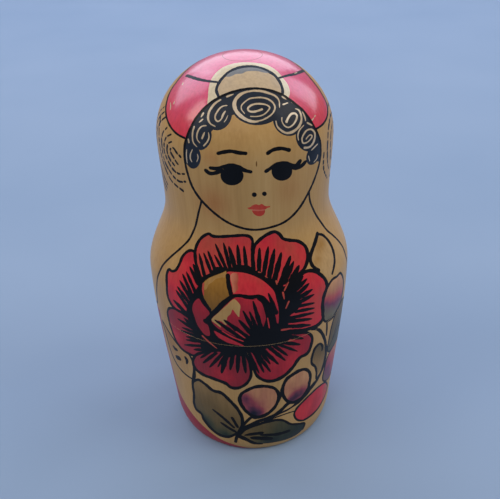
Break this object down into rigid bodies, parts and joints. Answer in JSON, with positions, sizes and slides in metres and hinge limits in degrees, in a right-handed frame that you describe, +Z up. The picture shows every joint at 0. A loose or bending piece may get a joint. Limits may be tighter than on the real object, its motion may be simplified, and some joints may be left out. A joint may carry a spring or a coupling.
{
  "type": "matryoshka nesting doll",
  "caption": "Turned wooden nesting doll that parts at a seam below its belly: the upper half lifts off a collar, and ever smaller dolls stand inside, down to a solid one.",
  "frame": {"origin": "centre of the outer doll's flat base", "axes": "+Z up the turning axis, front (the face) towards -Y"},
  "size_m": [0.062, 0.062, 0.125],
  "materials": {
    "doll_1_lower": "painted and lacquered",
    "doll_2_lower": "painted and lacquered",
    "doll_3_lower": "painted and lacquered",
    "doll_4_lower": "painted and lacquered",
    "doll_5_lower": "painted and lacquered",
    "doll_6_lower": "painted and lacquered",
    "doll_1_upper": "painted and lacquered",
    "doll_2_upper": "painted and lacquered",
    "doll_3_upper": "painted and lacquered",
    "doll_4_upper": "painted and lacquered",
    "doll_5_upper": "painted and lacquered",
    "doll_6_upper": "painted and lacquered",
    "seed_doll": "painted and lacquered"
  },
  "bodies": {
    "doll_1_lower": {"doll_1_lower": "doll_1_lower"},
    "doll_2_lower": {"doll_2_lower": "doll_2_lower"},
    "doll_3_lower": {"doll_3_lower": "doll_3_lower"},
    "doll_4_lower": {"doll_4_lower": "doll_4_lower"},
    "doll_5_lower": {"doll_5_lower": "doll_5_lower"},
    "doll_6_lower": {"doll_6_lower": "doll_6_lower"},
    "doll_1_upper": {"doll_1_upper": "doll_1_upper"},
    "doll_2_upper": {"doll_2_upper": "doll_2_upper"},
    "doll_3_upper": {"doll_3_upper": "doll_3_upper"},
    "doll_4_upper": {"doll_4_upper": "doll_4_upper"},
    "doll_5_upper": {"doll_5_upper": "doll_5_upper"},
    "doll_6_upper": {"doll_6_upper": "doll_6_upper"},
    "seed_doll": {"seed_doll": "seed_doll"}
  },
  "joints": [
    {"name": "doll_2_lift_out", "type": "slide", "parent": "doll_1_lower", "child": "doll_2_lower", "axis": [0, 0, 1], "range_m": [0, 0.06]},
    {"name": "doll_3_lift_out", "type": "slide", "parent": "doll_2_lower", "child": "doll_3_lower", "axis": [0, 0, 1], "range_m": [0, 0.048]},
    {"name": "doll_4_lift_out", "type": "slide", "parent": "doll_3_lower", "child": "doll_4_lower", "axis": [0, 0, 1], "range_m": [0, 0.038]},
    {"name": "doll_5_lift_out", "type": "slide", "parent": "doll_4_lower", "child": "doll_5_lower", "axis": [0, 0, 1], "range_m": [0, 0.031]},
    {"name": "doll_6_lift_out", "type": "slide", "parent": "doll_5_lower", "child": "doll_6_lower", "axis": [0, 0, 1], "range_m": [0, 0.025]},
    {"name": "upper_halves_twist", "type": "hinge", "parent": "doll_6_lower", "child": "seed_doll", "pos_m": [0, 0, 0.0277], "axis": [0, 0, 1], "continuous": true},
    {"name": "doll_6_lift_off", "type": "slide", "parent": "seed_doll", "child": "doll_6_upper", "axis": [0, 0, 1], "range_m": [0, 0.021]},
    {"name": "doll_5_lift_off", "type": "slide", "parent": "doll_6_upper", "child": "doll_5_upper", "axis": [0, 0, 1], "range_m": [0, 0.026]},
    {"name": "doll_4_lift_off", "type": "slide", "parent": "doll_5_upper", "child": "doll_4_upper", "axis": [0, 0, 1], "range_m": [0, 0.033]},
    {"name": "doll_3_lift_off", "type": "slide", "parent": "doll_4_upper", "child": "doll_3_upper", "axis": [0, 0, 1], "range_m": [0, 0.041]},
    {"name": "doll_2_lift_off", "type": "slide", "parent": "doll_3_upper", "child": "doll_2_upper", "axis": [0, 0, 1], "range_m": [0, 0.051]},
    {"name": "doll_1_lift_off", "type": "slide", "parent": "doll_2_upper", "child": "doll_1_upper", "axis": [0, 0, 1], "range_m": [0, 0.064]}
  ]
}
